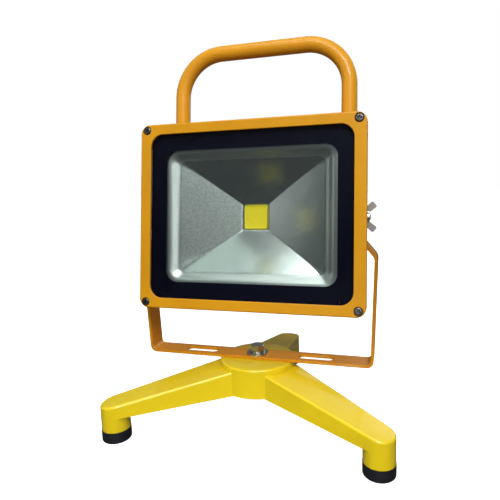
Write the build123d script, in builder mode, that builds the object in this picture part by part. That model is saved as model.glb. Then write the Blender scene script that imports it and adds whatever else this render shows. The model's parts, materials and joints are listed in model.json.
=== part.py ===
from build123d import *
import math
import os

# A square LED floodlight head that tilts in a strip yoke, on a three-legged cast base.
# Millimetres, +Z up. The lamp faces -Y. The origin is on the floor, at the middle of the footprint.

# ---- driving dimensions -------------------------------------------------------------------------

LEG_ANGLES = {"right": -30.0, "left": -150.0, "rear": 90.0}  # degrees about the hub
LEG_REACH = 144.0  # hub axis to foot axis
HUB_Y = -LEG_REACH / 4  # puts the footprint's middle at the origin
FOOT_RADIUS = 13.7
HUB_RADIUS = 38.5
HUB_TOP = 65.0
HUB_HEIGHT = 29.0
LEG_START = 14.0  # distance from the hub axis where a leg's solid begins, inside the hub
LEG_ROOT_HALF_WIDTH = 23.7
LEG_TOP_AT_AXIS = 65.8  # height of the leg's sloping top, carried in to the hub axis
LEG_TOP_SLOPE = 0.192
LEG_UNDER_AT_AXIS = 38.0
LEG_UNDER_SLOPE = 0.09
LEG_TAPER = 0.0696  # loss of half width per millimetre of reach
CASTING_WALL = 4.0
CASTING_SKIN = 5.0
CAP_HEIGHT = 11.4
CAP_RADIUS = 14.0
SPIGOT_RADIUS = 10.5
SPIGOT_LENGTH = 8.0
CAP_EDGE = 1.8
LEG_EDGE = 2.4  # rounding of the legs' upper edges
HUB_EDGE = 2.0
HUB_SKIN = 8.0  # metal under the hub's top
BOSS_BOTTOM = HUB_TOP - 20.0  # underside of the boss that the nut pulls against
BOSS_RADIUS = 15.0
NUT_WELL_RADIUS = 14.0  # room for the nut between the ribs
NUT_WELL_DEPTH = 15.0
RIB_THICKNESS = 3.0
RIB_END = 6.0  # ribs start and stop this far from the hub's and the foot's axes
RIB_RISE = 8.0  # ribs' underside above the legs' underside
RIB_DROP = 2.0  # ribs' top below the legs' top, inside the skin

STRIP = 3.0  # thickness of the yoke's steel strip
STRIP_WIDTH = 21.5
PIVOT_ABOVE_PLATE = 140.7
PIVOT_Z = HUB_TOP + STRIP + PIVOT_ABOVE_PLATE
ARM_FOOT_X = 116.0  # centre line of the strip, at the plate
ARM_HEAD_X = 120.05  # where the arm turns in
ARM_HEAD_Z = 171.8
EAR_X = 101.8
EAR_FOOT_Z = 193.5
YOKE_SLOT_X = 61.0
YOKE_SLOT_LENGTH = 36.0
YOKE_SLOT_WIDTH = 11.0
EAR_BEND = 7.0
HEAD_BEND = 9.0
FOOT_BEND = 5.5

TILT = 8.33  # degrees that the lamp looks up at rest
PIVOT_DEPTH = 24.0  # pivot behind the bezel's front face
LAMP_CENTRE_Z = 1.0  # middle of the bezel above the pivot
BEZEL_WIDTH = 225.0
BEZEL_HEIGHT = 184.4
BEZEL_CORNER = 9.5
BEZEL_DEPTH = 7.0
BEZEL_LIP = 2.0
OPENING_WIDTH = 202.4
OPENING_HEIGHT = 163.8
OPENING_CORNER = 12.7
GLASS_MARGIN = 2.0  # glass beyond the bezel's opening, all round
GLASS_THICKNESS = 4.0
WINDOW_WIDTH = 172.0
WINDOW_HEIGHT = 131.8
WINDOW_CORNER = 12.0
BORDER_THICKNESS = 0.2
SCREW_X = 105.5
SCREW_Z = 86.3
COUNTERBORE = 4.5
BEZEL_EDGE = 1.6
OPENING_EDGE = 0.6
BORDER_MARGIN = 0.4  # glass left bare round the printed border
GASKET_MARGIN = 2.0  # gasket's outside smaller than the housing
GASKET_WIDTH = 3.5

HOUSING_WIDTH = 198.0
HOUSING_HEIGHT = 164.0
HOUSING_CORNER = 12.0
HOUSING_WALL = 5.0
FLOOR_DEPTH = 37.0  # front face of the housing's back wall
BACK_DEPTH = 41.0
FIN_DEPTH = 60.0
FIN_PITCH = 9.6
FIN_THICKNESS = 2.2
FINS_EACH_SIDE = 9
BOX_WIDTH = 108.0  # driver box on the back
BOX_HEIGHT = 86.0
BOX_DEPTH = 66.0
BOX_WALL = 3.5
COVER_SCREW_X = 46.0
COVER_SCREW_Z = 35.0
COVER_THICKNESS = 3.0
COVER_EDGE = 1.4
COVER_HOLE = 12.0
DRIVER_HOLE = 4.5
COVER_GASKET = 0.8
PILLAR_RADIUS = 5.0
FIN_SLOPE = 8.0  # height over which a fin's end slopes
FIN_MARGIN = 2.0  # fins stop this far inside the housing's top and bottom
BACK_EDGE = 3.0
ROOT_OVERLAP = 1.0  # how far added bosses run into the wall they stand on

CREASE_X = 73.8  # where the reflector's shallow band turns into the deep faces
CREASE_Z = 56.0
CREASE_DEPTH = 13.4
THROAT = 12.5  # half the side of the reflector's square opening
THROAT_DEPTH = 33.0
SHEET = 0.9  # reflector sheet
RIM_DEPTH = 8.2
POST_X = 90.0
POST_Z = 72.6
POST_RADIUS = 3.6
POST_HOLE = 8.0
RIM_MARGIN = 11.0  # reflector's rim is this much smaller than the housing
EMITTER_SIDE = 24.1
EMITTER_DEPTH = 33.2

HANDLE_DEPTH = 53.9  # handle's plane behind the bezel's front
HANDLE_X = 91.6
HANDLE_TOP = 179.8  # centre line above the lamp's centre
HANDLE_RADIUS = 8.0
HANDLE_BEND = 45.0
HANDLE_WALL = 1.5
SOCKET_FLOOR = 62.0  # above the pivot
SOCKET_BASE = 6.0  # metal under the handle's end
SOCKET_TOP = 92.0
SOCKET_WIDTH = 22.0
SOCKET_CORNER = 3.0
SOCKET_SCREW_HOLE = 5.0
HANDLE_SCREW_Z = (69.0, 84.0)

GLAND_DEPTH = 53.5
GLAND_APOTHEM = 10.0  # half the gland's hexagon across its flats
GLAND_FLANGE = 4.5
GLAND_NECK = 9.5
GLAND_INSIDE = 10.5  # thread that stands in the wall and the box
GLAND_CAP_NOSE = 6.0
GLAND_CAP_BORE = 7.3
GLAND_NECK_RADIUS = 7.2
GLAND_CAP_MOUTH = 8.2  # radius of the cap's cone at its lower end
GLAND_CAP_CONE = -16.0  # degrees
GLAND_NUT = (4.5, 22.0)  # height and across flats
SEAL_LENGTH = 10.0
SEAL_OUT = 1.5  # seal that stands below the gland's neck
LUG_DEPTH = 22.0
LUG_RADIUS = 5.6
LUG_ROOT_RADIUS = 8.0
LUG_ROOT_INSET = 9.0
LUG_SCREW_DEPTH = 20.0
SOCKET_BACK = 65.5  # flat rear face of the handle's blocks
GLAND_CLEAR = 17.0  # half the gap in the fins round the gland
GLAND_THREAD = 8.0
SEAL_RADIUS = 5.4
BOX_CORNER = 8.0
BOX_BOTTOM = LAMP_CENTRE_Z - BOX_HEIGHT / 2
DRIVER_DEPTH = 47.0
DRIVER_Z = 11.0
DRIVER_SCREW_X = 42.0
DRIVER_FLANGE = (94.0, 14.0, 3.0)  # width, height and corner
DRIVER_FLANGE_THICKNESS = 1.5
DRIVER_BODY = (76.0, 44.0, 3.0)
DRIVER_BODY_THICKNESS = 16.0
TERMINAL_SIZE = (30.0, 12.0)
TERMINAL_HEIGHT = 12.0
TERMINAL_Z = -24.0
TERMINAL_PITCH = 10.0
TERMINAL_WELL = (2.0, 3.0)  # radius and depth
BOARD_SIDE = 40.0
BOARD_SCREW = 16.5
BOARD_THICKNESS = 2.0
EMITTER_THICKNESS = 1.2
LEAD_RADIUS = 0.8
PIVOT_BOSS_X = 82.0
PIVOT_BOSS_RADIUS = 9.0
PIVOT_GAP = 0.1
PIVOT_WASHER = 1.6
PIVOT_WASHER_RADIUS = 8.2
TOOTH_RADIUS = 8.6
TOOTH_COUNT = 18
TOOTH_NOTCH = (2.4, 1.3)
STUD_GRIP = 14.0  # length of the stud inside the housing
STUD_TIP = 114.5
WING_HUB = 8.5
WING_HUB_RADIUS = 6.3
WING_HUB_TAPER = 9.0  # degrees
WING_BLADE = [(0.6, 5.0), (11.3, 14.9), (15.6, 9.8), (7.6, 3.6)]  # along the axis from the seat, and out
WING_THICKNESS = 2.0
WING_TIP = 1.6
CABLE_RADIUS = 3.2
LEAD_Z = 2.2
LEAD_X = 27.0
LEAD_BEND = 3.0
LEAD_HOLE = 5.0
BOARD_CORNER = 1.5

# metric fastener sizes: shank radius, head radius, head height
M3 = (1.5, 2.8, 2.0)
M4 = (2.0, 3.6, 2.2)
M6_RADIUS = 3.0
M8_RADIUS = 4.0
M8_ACROSS_FLATS = 13.0
BOLT_TURN = -12.0  # degrees that the hexagon's first corner is turned from +X
BOLT_LENGTH = 35.0
BOLT_HEAD = 5.3
BOLT_WASHER_RADIUS = 11.0
LOCK_WASHER_RADIUS = 7.4
LOCK_WASHER_BORE = 4.2
LOCK_WASHER_HEIGHT = 2.2
LOCK_WASHER_SPLIT = (8.0, 1.6)  # length and width of the slanting cut
LOCK_WASHER_SPLIT_AT = (-4.2, -4.4)
LOCK_WASHER_SPLIT_TURN = 46.0
NUT_WASHER_RADIUS = 8.0
WASHER_BORE = 4.3
WASHER = 1.6
NUT_HEIGHT = 6.5
LOOSE_HOLE = 0.1  # added to a screw's radius where it passes through
TAPPED_HOLE = 0.05  # added to a screw's radius where its thread bites


def slope_height(at_axis, slope, reach):
    """Height of a line that falls by slope from its height at the hub axis."""
    return at_axis - slope * reach


def depth_plane(depth):
    """Plane parallel to the bezel, facing forward, at a depth behind the bezel's front face."""
    return Plane(origin=(0, depth - PIVOT_DEPTH, LAMP_CENTRE_Z), x_dir=(1, 0, 0), z_dir=(0, -1, 0))


def hub_plane(height):
    """Level plane with its origin on the hub axis."""
    return Plane(origin=(0, HUB_Y, height))


def side_plane(offset, depth=PIVOT_DEPTH, height=0.0):
    """Plane across the tilt axis, facing +X, in the lamp's own frame."""
    return Plane(origin=(offset, depth - PIVOT_DEPTH, height), x_dir=(0, 1, 0), z_dir=(1, 0, 0))


LAMP_PLACE = Location((0, HUB_Y, PIVOT_Z), (-TILT, 0, 0))


def write_base(piece, label):
    """Write a piece that is already where it belongs."""
    piece.part.label = label
    export_step(piece.part, f"parts/{label}.step")


def write_lamp(piece, label):
    """Write a piece of the lamp, tilted about the pivot and lifted to the yoke's ears."""
    piece.part.label = label
    export_step(piece.part.moved(LAMP_PLACE), f"parts/{label}.step")


def at_corners(x, z):
    """The four places mirrored about the lamp's centre lines."""
    return Locations((x, z), (-x, z), (x, -z), (-x, -z))


def flat_ring(plane, outer, inner, thickness):
    """A plain ring standing on a plane."""
    with BuildPart() as ring:
        with BuildSketch(plane):
            Circle(outer)
            Circle(inner, mode=Mode.SUBTRACT)
        extrude(amount=thickness)
    return ring


def pan_screw(places, seat_plane, size, length, recess=0.55):
    """Pan head screws with a cross recess. The plane is the seat, facing the way the head points."""
    shank, head, height = size
    arm = head * recess
    slot = head * 0.3
    rounding = height * 0.42
    recess_depth = height * 0.6
    with BuildPart() as screws:
        with BuildSketch(seat_plane):
            with Locations(*places):
                Circle(head)
        extrude(amount=height)
        rims = screws.edges().filter_by(GeomType.CIRCLE)
        fillet(rims.group_by(Axis(seat_plane.origin, seat_plane.z_dir))[-1], radius=rounding)
        with BuildSketch(seat_plane.offset(height)):
            with Locations(*places):
                Rectangle(2 * arm, slot)
                Rectangle(slot, 2 * arm)
        extrude(amount=-recess_depth, taper=12, mode=Mode.SUBTRACT)
        with BuildSketch(seat_plane):
            with Locations(*places):
                Circle(shank)
        extrude(amount=-length)
    return screws


# ---- base ---------------------------------------------------------------------------------------


def leg_bar(start, end, top_drop, under_rise, half_width):
    """A bar along +X whose top and underside both fall away from the hub, as a leg's do."""
    corners = (
        (start, slope_height(LEG_UNDER_AT_AXIS, LEG_UNDER_SLOPE, start) + under_rise),
        (end, slope_height(LEG_UNDER_AT_AXIS, LEG_UNDER_SLOPE, end) + under_rise),
        (end, slope_height(LEG_TOP_AT_AXIS, LEG_TOP_SLOPE, end) - top_drop),
        (start, slope_height(LEG_TOP_AT_AXIS, LEG_TOP_SLOPE, start) - top_drop),
    )
    with BuildPart() as bar:
        with BuildSketch(Plane.XZ.offset(half_width)):
            with BuildLine():
                Polyline(*corners, close=True)
            make_face()
        extrude(amount=-2 * half_width)
    return bar.part


def build_leg():
    """One leg along +X: tapered in plan, round at the foot, with a post and a spigot for the cap."""
    root_half_width = slope_height(LEG_ROOT_HALF_WIDTH, LEG_TAPER, LEG_START)
    bar = leg_bar(LEG_START, LEG_REACH + FOOT_RADIUS, 0, 0, LEG_ROOT_HALF_WIDTH)
    with BuildPart() as leg:
        add(bar)
        with BuildSketch(Plane.XY):
            with Locations((LEG_REACH, 0)):
                Circle(FOOT_RADIUS)
            with Locations((LEG_START + ROOT_OVERLAP / 2, 0)):
                Rectangle(ROOT_OVERLAP, 2 * root_half_width)
            make_hull()
        extrude(amount=2 * HUB_TOP, mode=Mode.INTERSECT)
        top_edges = leg.faces().sort_by(Axis.Z)[-1].edges()
        fillet(top_edges.sort_by(Axis.X)[1:], radius=LEG_EDGE)
        with BuildSketch(Plane.XY.offset(CAP_HEIGHT)):
            with Locations((LEG_REACH, 0)):
                Circle(FOOT_RADIUS)
        extrude(amount=1.5 * CAP_HEIGHT)
        with BuildSketch(Plane.XY.offset(CAP_HEIGHT - SPIGOT_LENGTH)):
            with Locations((LEG_REACH, 0)):
                Circle(SPIGOT_RADIUS)
        extrude(amount=SPIGOT_LENGTH)
    return leg.part


def build_leg_pocket():
    """The hollow under one leg, from the hub to just short of the post."""
    far = LEG_REACH - FOOT_RADIUS - CASTING_WALL / 2
    root = LEG_ROOT_HALF_WIDTH - CASTING_WALL
    foot = slope_height(LEG_ROOT_HALF_WIDTH, LEG_TAPER, far) - CASTING_WALL
    bar = leg_bar(0, far, CASTING_SKIN, -2 * CASTING_WALL, LEG_ROOT_HALF_WIDTH)
    with BuildPart() as pocket:
        add(bar)
        with BuildSketch(Plane.XY):
            with BuildLine():
                Polyline((0, -root), (far, -foot), (far, foot), (0, root), close=True)
            make_face()
        extrude(amount=2 * HUB_TOP, mode=Mode.INTERSECT)
    return pocket.part


def build_base():
    """The cast base: a hub and three legs, hollow underneath, with a rib down the middle of each leg."""
    hub_bottom = HUB_TOP - HUB_HEIGHT
    leg = build_leg()
    pocket = build_leg_pocket()
    rib = leg_bar(RIB_END, LEG_REACH - RIB_END, RIB_DROP, RIB_RISE, RIB_THICKNESS / 2)
    with BuildPart() as casting:
        with BuildSketch(Plane.XY.offset(hub_bottom)):
            Circle(HUB_RADIUS)
        extrude(amount=HUB_HEIGHT)
        fillet(casting.faces().sort_by(Axis.Z)[-1].edges(), radius=HUB_EDGE)
        with PolarLocations(0, 3, start_angle=LEG_ANGLES["right"]):
            add(leg)
        with BuildSketch(Plane.XY.offset(hub_bottom)):
            Circle(HUB_RADIUS - CASTING_WALL)
        extrude(amount=HUB_HEIGHT - HUB_SKIN, mode=Mode.SUBTRACT)
        with PolarLocations(0, 3, start_angle=LEG_ANGLES["right"]):
            add(pocket, mode=Mode.SUBTRACT)
        with PolarLocations(0, 3, start_angle=LEG_ANGLES["right"]):
            add(rib)
        with BuildSketch(Plane.XY.offset(BOSS_BOTTOM)):
            Circle(BOSS_RADIUS)
        extrude(amount=HUB_TOP - BOSS_BOTTOM - ROOT_OVERLAP)
        with BuildSketch(Plane.XY.offset(BOSS_BOTTOM - NUT_WELL_DEPTH)):
            Circle(NUT_WELL_RADIUS)
        extrude(amount=NUT_WELL_DEPTH, mode=Mode.SUBTRACT)
        with BuildSketch(Plane.XY):
            Circle(M8_RADIUS + 2 * LOOSE_HOLE)
        extrude(amount=HUB_TOP, mode=Mode.SUBTRACT)
    with BuildPart() as base:
        with Locations((0, HUB_Y, 0)):
            add(casting.part)
    write_base(base, "base_casting")


def build_foot_caps():
    """Three rubber cups pushed on the spigots under the feet."""
    for name, angle in LEG_ANGLES.items():
        x = LEG_REACH * math.cos(math.radians(angle))
        y = LEG_REACH * math.sin(math.radians(angle)) + HUB_Y
        with BuildPart() as cap:
            with BuildSketch(Plane(origin=(x, y, 0))):
                Circle(CAP_RADIUS)
            extrude(amount=CAP_HEIGHT)
            fillet(cap.faces().sort_by(Axis.Z)[0].edges(), radius=CAP_EDGE)
            with BuildSketch(Plane(origin=(x, y, CAP_HEIGHT - SPIGOT_LENGTH))):
                Circle(SPIGOT_RADIUS)
            extrude(amount=SPIGOT_LENGTH, mode=Mode.SUBTRACT)
        write_base(cap, f"foot_cap_{name}")


def hexagon(plane, height, flats, hole, bevel):
    """A hexagon with its corners turned off at the top, and a round hole or none."""
    with BuildPart() as turned:
        with BuildSketch(plane):
            Circle(flats / math.sqrt(3))
        extrude(amount=height)
        rim = turned.edges().group_by(Axis(plane.origin, plane.z_dir))[-1]
        chamfer(rim, length=bevel)
    with BuildPart() as hexa:
        with BuildSketch(plane):
            RegularPolygon(radius=flats / 2, side_count=6, major_radius=False, rotation=BOLT_TURN)
            if hole:
                Circle(hole, mode=Mode.SUBTRACT)
        extrude(amount=height)
        add(turned.part, mode=Mode.INTERSECT)
    return hexa


def build_base_fasteners():
    """The bolt that the yoke turns on, with a flat and a split washer above and a washer and nut below."""
    plate_top = HUB_TOP + STRIP
    head_seat = plate_top + WASHER + LOCK_WASHER_HEIGHT
    write_base(flat_ring(hub_plane(plate_top), BOLT_WASHER_RADIUS, WASHER_BORE, WASHER), "base_flat_washer")
    with BuildPart() as lock_washer:
        with BuildSketch(hub_plane(plate_top + WASHER)):
            Circle(LOCK_WASHER_RADIUS)
            Circle(LOCK_WASHER_BORE, mode=Mode.SUBTRACT)
            with Locations(Location((*LOCK_WASHER_SPLIT_AT, 0), LOCK_WASHER_SPLIT_TURN)):
                Rectangle(*LOCK_WASHER_SPLIT, mode=Mode.SUBTRACT)
        extrude(amount=LOCK_WASHER_HEIGHT)
    write_base(lock_washer, "base_lock_washer")
    head = hexagon(hub_plane(head_seat), BOLT_HEAD, M8_ACROSS_FLATS, None, 0.9)
    with BuildPart() as bolt:
        add(head.part)
        with BuildSketch(hub_plane(head_seat)):
            Circle(M8_RADIUS)
        extrude(amount=-BOLT_LENGTH)
    write_base(bolt, "base_bolt")
    washer_plane = hub_plane(BOSS_BOTTOM - WASHER)
    write_base(flat_ring(washer_plane, NUT_WASHER_RADIUS, WASHER_BORE, WASHER), "base_nut_washer")
    nut_plane = hub_plane(BOSS_BOTTOM - WASHER - NUT_HEIGHT)
    write_base(hexagon(nut_plane, NUT_HEIGHT, M8_ACROSS_FLATS, M8_RADIUS, 0.6), "base_nut")


# ---- yoke ---------------------------------------------------------------------------------------


def build_yoke():
    """The steel strip: a slotted plate, two arms, and ears that turn in to hold the lamp."""
    plate_z = HUB_TOP + STRIP / 2
    ear_top = PIVOT_Z + STRIP_WIDTH / 2
    right = [(EAR_X, ear_top), (EAR_X, EAR_FOOT_Z), (ARM_HEAD_X, ARM_HEAD_Z), (ARM_FOOT_X, plate_z)]
    left = [(-x, z) for x, z in reversed(right)]
    bends = [EAR_BEND, HEAD_BEND, FOOT_BEND, FOOT_BEND, HEAD_BEND, EAR_BEND]
    with BuildPart() as yoke:
        with BuildSketch(Plane.XZ.offset(-HUB_Y)):
            with BuildLine() as centre_line:
                FilletPolyline(*right, *left, radius=bends)
            trace(centre_line.line, line_width=STRIP)
        extrude(amount=STRIP_WIDTH / 2, both=True)
        fillet(yoke.edges().filter_by(Axis.X).group_by(Axis.Z)[-1], radius=STRIP_WIDTH / 2 - 0.05)
        with BuildSketch(Plane(origin=(0, HUB_Y, PIVOT_Z), x_dir=(0, 1, 0), z_dir=(1, 0, 0))):
            Circle(M6_RADIUS + 3 * LOOSE_HOLE)
        extrude(amount=ARM_HEAD_X, both=True, mode=Mode.SUBTRACT)
        with BuildSketch(hub_plane(HUB_TOP)):
            Circle(M8_RADIUS + 5 * LOOSE_HOLE)
            with Locations((YOKE_SLOT_X, 0), (-YOKE_SLOT_X, 0)):
                SlotOverall(YOKE_SLOT_LENGTH, YOKE_SLOT_WIDTH)
        extrude(amount=STRIP, mode=Mode.SUBTRACT)
    write_base(yoke, "yoke_bracket")


# ---- lamp: bezel, glass and reflector -----------------------------------------------------------


def plate_ring(back, thickness, outer, inner):
    """A flat rounded ring parallel to the bezel. outer and inner are (width, height, corner)."""
    with BuildPart() as ring:
        with BuildSketch(depth_plane(back)):
            RectangleRounded(*outer)
            RectangleRounded(*inner, mode=Mode.SUBTRACT)
        extrude(amount=thickness)
    return ring


def build_bezel():
    """The front frame, its rebate for the glass, and its four counterbored corner screws."""
    glass = glass_size(0.2)
    with BuildPart() as bezel:
        with BuildSketch(depth_plane(BEZEL_DEPTH)):
            RectangleRounded(BEZEL_WIDTH, BEZEL_HEIGHT, BEZEL_CORNER)
        extrude(amount=BEZEL_DEPTH)
        fillet(bezel.faces().sort_by(Axis.Y)[0].edges(), radius=BEZEL_EDGE)
        with BuildSketch(depth_plane(BEZEL_DEPTH)):
            RectangleRounded(OPENING_WIDTH, OPENING_HEIGHT, OPENING_CORNER)
        extrude(amount=BEZEL_DEPTH, mode=Mode.SUBTRACT)
        inner_rim = bezel.faces().sort_by(Axis.Y)[0].inner_wires()[0].edges()
        fillet(inner_rim, radius=OPENING_EDGE)
        with BuildSketch(depth_plane(BEZEL_DEPTH)):
            RectangleRounded(*glass)
        extrude(amount=BEZEL_DEPTH - BEZEL_LIP, mode=Mode.SUBTRACT)
        with BuildSketch(depth_plane(BEZEL_DEPTH)):
            with at_corners(SCREW_X, SCREW_Z):
                Circle(M4[0] + 2 * LOOSE_HOLE)
        extrude(amount=BEZEL_DEPTH, mode=Mode.SUBTRACT)
        with BuildSketch(depth_plane(M4[2])):
            with at_corners(SCREW_X, SCREW_Z):
                Circle(COUNTERBORE)
        extrude(amount=M4[2], mode=Mode.SUBTRACT)
    write_lamp(bezel, "bezel_frame")
    corners = [(x, z) for x in (-SCREW_X, SCREW_X) for z in (-SCREW_Z, SCREW_Z)]
    write_lamp(pan_screw(corners, depth_plane(M4[2]), M4, 15.0), "bezel_screws")


def glass_size(clearance):
    """Width, height and corner of the glass, or of the rebate that holds it."""
    margin = 2 * (GLASS_MARGIN + clearance)
    return OPENING_WIDTH + margin, OPENING_HEIGHT + margin, OPENING_CORNER + margin / 2


def build_glass():
    """The toughened glass, the border printed on its back and the gasket behind it."""
    back = BEZEL_LIP + GLASS_THICKNESS
    with BuildPart() as glass:
        with BuildSketch(depth_plane(back)):
            RectangleRounded(*glass_size(0))
        extrude(amount=GLASS_THICKNESS)
    write_lamp(glass, "front_glass")
    window = (WINDOW_WIDTH, WINDOW_HEIGHT, WINDOW_CORNER)
    border_back = back + BORDER_THICKNESS
    write_lamp(plate_ring(border_back, BORDER_THICKNESS, glass_size(-BORDER_MARGIN), window), "glass_border")
    inset = GASKET_MARGIN + 2 * GASKET_WIDTH
    outer, inner = [
        (HOUSING_WIDTH - smaller, HOUSING_HEIGHT - smaller, HOUSING_CORNER - smaller / 2)
        for smaller in (GASKET_MARGIN, inset)
    ]
    write_lamp(plate_ring(BEZEL_DEPTH, BEZEL_DEPTH - border_back, outer, inner), "glass_gasket")


def reflector_block(shift):
    """The solid in front of the reflector's face: a shallow band, then four flat converging faces."""
    with BuildPart() as block:
        with BuildSketch(depth_plane(RIM_DEPTH + shift)):
            Rectangle(WINDOW_WIDTH + 2, WINDOW_HEIGHT + 2)
        with BuildSketch(depth_plane(CREASE_DEPTH + shift)):
            Rectangle(2 * CREASE_X, 2 * CREASE_Z)
        loft(ruled=True)
        with BuildSketch(depth_plane(CREASE_DEPTH + shift)):
            Rectangle(2 * CREASE_X, 2 * CREASE_Z)
        with BuildSketch(depth_plane(THROAT_DEPTH + shift)):
            Rectangle(2 * THROAT, 2 * THROAT)
        loft(ruled=True)
    return block.part


def build_reflector():
    """The pressed reflector: a flat rim screwed to four posts, a shallow band and four deep faces."""
    front = reflector_block(0)
    behind = reflector_block(SHEET)
    rim_back = RIM_DEPTH + SHEET
    with BuildPart() as reflector:
        with BuildSketch(depth_plane(rim_back)):
            RectangleRounded(HOUSING_WIDTH - RIM_MARGIN, HOUSING_HEIGHT - RIM_MARGIN,
                             HOUSING_CORNER - RIM_MARGIN / 2)
            with at_corners(POST_X, POST_Z):
                Circle(M3[0] + LOOSE_HOLE, mode=Mode.SUBTRACT)
        extrude(amount=SHEET)
        add(behind)
        add(front, mode=Mode.SUBTRACT)
        with BuildSketch(depth_plane(THROAT_DEPTH + 2)):
            Rectangle(2 * THROAT, 2 * THROAT)
        extrude(amount=4, mode=Mode.SUBTRACT)
    write_lamp(reflector, "reflector")
    corners = [(x, z) for x in (-POST_X, POST_X) for z in (-POST_Z, POST_Z)]
    low_head = (M3[0], 2.6, 1.0)
    write_lamp(pan_screw(corners, depth_plane(RIM_DEPTH), low_head, 7.0), "reflector_screws")


# ---- lamp: housing ------------------------------------------------------------------------------


def lamp_level(height, depth=PIVOT_DEPTH):
    """Plane square to the bezel's upright edges, facing up, at a height above the pivot."""
    return Plane(origin=(0, depth - PIVOT_DEPTH, height))


def rear_plane(depth):
    """Plane parallel to the bezel that faces backward."""
    return Plane(origin=(0, depth - PIVOT_DEPTH, LAMP_CENTRE_Z), x_dir=(-1, 0, 0), z_dir=(0, 1, 0))


def build_fins():
    """Upright cooling fins on the back wall, with sloping ends and a gap under the driver box."""
    half = HOUSING_HEIGHT / 2 - FIN_MARGIN
    tip_half = half - FIN_SLOPE
    root = BACK_DEPTH - ROOT_OVERLAP - PIVOT_DEPTH
    tip = FIN_DEPTH - PIVOT_DEPTH
    with BuildPart() as fins:
        for step in range(-FINS_EACH_SIDE, FINS_EACH_SIDE + 1):
            with BuildSketch(Plane(origin=(step * FIN_PITCH - FIN_THICKNESS / 2, 0, LAMP_CENTRE_Z),
                                   x_dir=(0, 1, 0), z_dir=(1, 0, 0))):
                with BuildLine():
                    Polyline((root, -half), (tip, -tip_half), (tip, tip_half), (root, half), close=True)
                make_face()
            extrude(amount=FIN_THICKNESS)
        with BuildSketch(lamp_level(-HOUSING_HEIGHT / 2, FIN_DEPTH)):
            Rectangle(2 * GLAND_CLEAR, 2 * (FIN_DEPTH - BACK_DEPTH))
        extrude(amount=half, mode=Mode.SUBTRACT)
    return fins.part


def build_lugs():
    """Webs that carry the bezel's corner screws, outside the housing's own corners."""
    inner_x = HOUSING_WIDTH / 2 - LUG_ROOT_INSET
    inner_z = HOUSING_HEIGHT / 2 - LUG_ROOT_INSET
    with BuildPart() as lugs:
        for side_x in (-1, 1):
            for side_z in (-1, 1):
                with BuildSketch(depth_plane(LUG_DEPTH)):
                    with Locations((side_x * SCREW_X, side_z * SCREW_Z)):
                        Circle(LUG_RADIUS)
                    with Locations((side_x * inner_x, side_z * inner_z)):
                        Circle(LUG_ROOT_RADIUS)
                    make_hull()
                extrude(amount=LUG_DEPTH - BEZEL_DEPTH)
    return lugs.part


def build_handle_blocks():
    """Two blocks on the back that the handle's ends drop into."""
    front = BACK_DEPTH - ROOT_OVERLAP
    with BuildPart() as blocks:
        with BuildSketch(lamp_level(SOCKET_FLOOR - SOCKET_BASE, (SOCKET_BACK + front) / 2)):
            with Locations((HANDLE_X, 0), (-HANDLE_X, 0)):
                RectangleRounded(SOCKET_WIDTH, SOCKET_BACK - front, SOCKET_CORNER)
        extrude(amount=SOCKET_TOP - SOCKET_FLOOR + SOCKET_BASE)
    return blocks.part


def build_inner_bosses():
    """Bosses inside the housing: pivots, reflector posts, cover and driver pillars."""
    wall_x = HOUSING_WIDTH / 2 - HOUSING_WALL + ROOT_OVERLAP
    with BuildPart() as bosses:
        for side in (-1, 1):
            with BuildSketch(side_plane(side * wall_x)):
                Circle(PIVOT_BOSS_RADIUS)
            extrude(amount=-side * (wall_x - PIVOT_BOSS_X))
        with BuildSketch(depth_plane(FLOOR_DEPTH + ROOT_OVERLAP)):
            with at_corners(POST_X, POST_Z):
                Circle(POST_RADIUS)
        extrude(amount=FLOOR_DEPTH + ROOT_OVERLAP - RIM_DEPTH - SHEET)
        with BuildSketch(depth_plane(BOX_DEPTH)):
            with at_corners(COVER_SCREW_X, COVER_SCREW_Z):
                Circle(PILLAR_RADIUS)
        extrude(amount=BOX_DEPTH - BACK_DEPTH + ROOT_OVERLAP)
        with BuildSketch(depth_plane(DRIVER_DEPTH)):
            with Locations((DRIVER_SCREW_X, DRIVER_Z), (-DRIVER_SCREW_X, DRIVER_Z)):
                Circle(POST_RADIUS)
        extrude(amount=DRIVER_DEPTH - BACK_DEPTH + ROOT_OVERLAP)
    return bosses.part


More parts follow.
